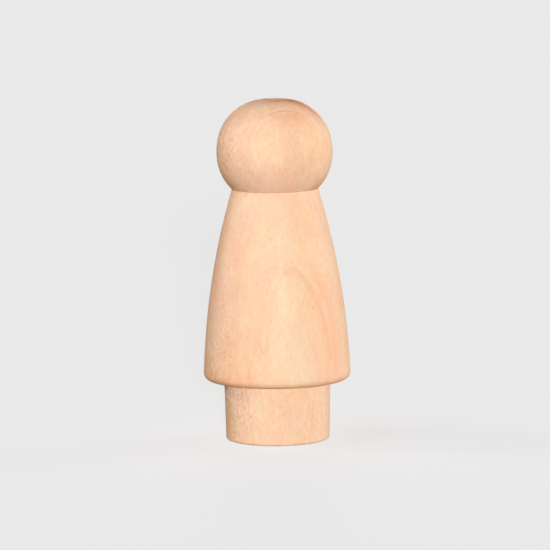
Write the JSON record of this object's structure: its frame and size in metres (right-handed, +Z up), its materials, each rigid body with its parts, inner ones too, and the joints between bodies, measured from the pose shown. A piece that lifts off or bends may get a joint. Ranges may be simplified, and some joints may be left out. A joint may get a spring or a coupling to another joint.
{
  "type": "peg doll",
  "caption": "Plain turned wooden peg doll: a ball head on a flared dress that stands on a narrower round foot, unpainted and without a face.",
  "frame": {"origin": "centre of the flat underside of the foot, on the turning axis", "axes": "+Z up along the turning axis from foot to crown, -Y towards the side that the picture shows, +X to that view's right"},
  "size_m": [0.0384, 0.0384, 0.0889],
  "materials": {
    "turned_wood": "fine sanded bare wood, matt to faintly satin",
    "dowel_wood": "bare hardwood dowel, matt"
  },
  "bodies": {
    "root": {"head": "turned_wood", "dress": "turned_wood", "foot": "turned_wood", "neck_dowel": "dowel_wood", "foot_dowel": "dowel_wood"}
  },
  "joints": []
}
